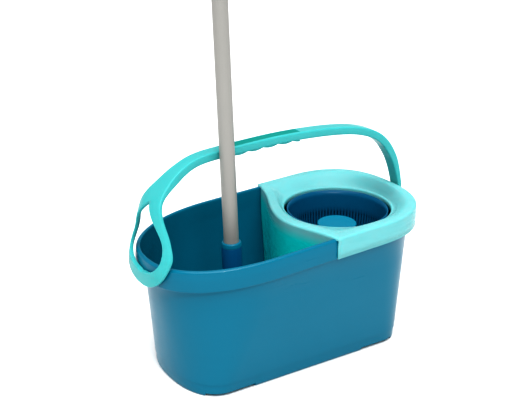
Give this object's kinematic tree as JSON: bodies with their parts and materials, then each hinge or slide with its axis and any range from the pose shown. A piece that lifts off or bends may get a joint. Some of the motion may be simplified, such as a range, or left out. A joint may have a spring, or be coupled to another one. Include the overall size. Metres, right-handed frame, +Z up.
{
  "type": "spin mop",
  "caption": "Oval mop bucket with swing handle and push-on wringer insert, and a disc mop whose head spins when its telescopic handle is pumped.",
  "frame": {"origin": "centre of the whole set's bounding box in plan, at the level of the foot pads", "axes": "+Z up along the upright mop, +X towards the wringer basket, -Y the side with the mop handle in front of the bail"},
  "size_m": [0.527, 0.2826, 1.083],
  "materials": {
    "bucket_blue": "moulded polypropylene, satin, petrol blue",
    "turquoise": "moulded polypropylene, satin, light turquoise",
    "dark_turquoise": "soft-touch inlay, matt, darker turquoise",
    "basket_blue": "moulded polypropylene, satin, dark blue",
    "hub_blue": "moulded polypropylene, satin, mid blue",
    "collar_blue": "moulded plastic, satin, dark blue",
    "grey_tube": "coated aluminium tube, warm grey, satin",
    "steel": "bright zinc-plated steel",
    "microfibre": "white microfibre strands"
  },
  "bodies": {
    "root": {"bucket_body": "bucket_blue", "spin_insert": "turquoise", "axle_post": "bucket_blue", "basket_axle": "steel", "thrust_washer": "steel", "left_pivot_bush": "bucket_blue", "right_pivot_bush": "bucket_blue"},
    "bail": {"bail_handle": "turquoise", "grip_inlay": "dark_turquoise", "grip_underside": "turquoise", "left_pivot_pin": "turquoise", "right_pivot_pin": "turquoise"},
    "basket": {"wringer_basket": "basket_blue", "basket_hub": "hub_blue"},
    "mop_foot": {"fork": "collar_blue", "fork_pin": "steel"},
    "mop_head": {"mop_plate": "bucket_blue", "mop_pad": "microfibre", "plate_bolt": "steel"},
    "handle_lower": {"joint_collar": "collar_blue", "collar_ring": "bucket_blue", "lower_tube": "grey_tube", "clamp_sleeve": "collar_blue", "spindle_bearing": "steel"},
    "spindle": {"drive_spindle": "steel"},
    "lock": {"lock_ring": "turquoise"},
    "handle_upper": {"upper_tube": "grey_tube", "drive_nut": "collar_blue", "hand_grip": "turquoise", "end_cap": "collar_blue"}
  },
  "joints": [
    {"name": "bail_swing", "type": "hinge", "parent": "root", "child": "bail", "pos_m": [0, 0, 0.1995], "axis": [-1, 0, 0], "range_deg": [0, 90]},
    {"name": "basket_spin", "type": "hinge", "parent": "root", "child": "basket", "pos_m": [0.12525, 0, 0.107], "axis": [0, 0, 1], "continuous": true},
    {"name": "mop_lift", "type": "slide", "parent": "root", "child": "mop_foot", "axis": [0, 0, 1], "range_m": [0, 0.25]},
    {"name": "head_spin", "type": "hinge", "parent": "mop_foot", "child": "mop_head", "pos_m": [-0.10475, -0.03, 0.0085], "axis": [0, 0, 1], "range_deg": [0, 720]},
    {"name": "handle_tilt", "type": "hinge", "parent": "mop_foot", "child": "handle_lower", "pos_m": [-0.10475, -0.03, 0.0645], "axis": [0, 1, 0], "range_deg": [-15, 15]},
    {"name": "spindle_turn", "type": "hinge", "parent": "handle_lower", "child": "spindle", "pos_m": [-0.10475, -0.03, 0.0645], "axis": [-0.0401, 0, 0.9992], "range_deg": [0, 720]},
    {"name": "lock_twist", "type": "hinge", "parent": "handle_lower", "child": "lock", "pos_m": [-0.10475, -0.03, 0.0645], "axis": [-0.0401, 0, 0.9992], "range_deg": [0, 60]},
    {"name": "handle_pump", "type": "slide", "parent": "handle_lower", "child": "handle_upper", "axis": [-0.0401, 0, 0.9992], "range_m": [-0.2, 0]}
  ],
  "couplings": [
    {"joint": "spindle_turn", "follows": "handle_pump", "rad_per_m": -62.83},
    {"joint": "head_spin", "follows": "handle_pump", "rad_per_m": -62.83}
  ]
}
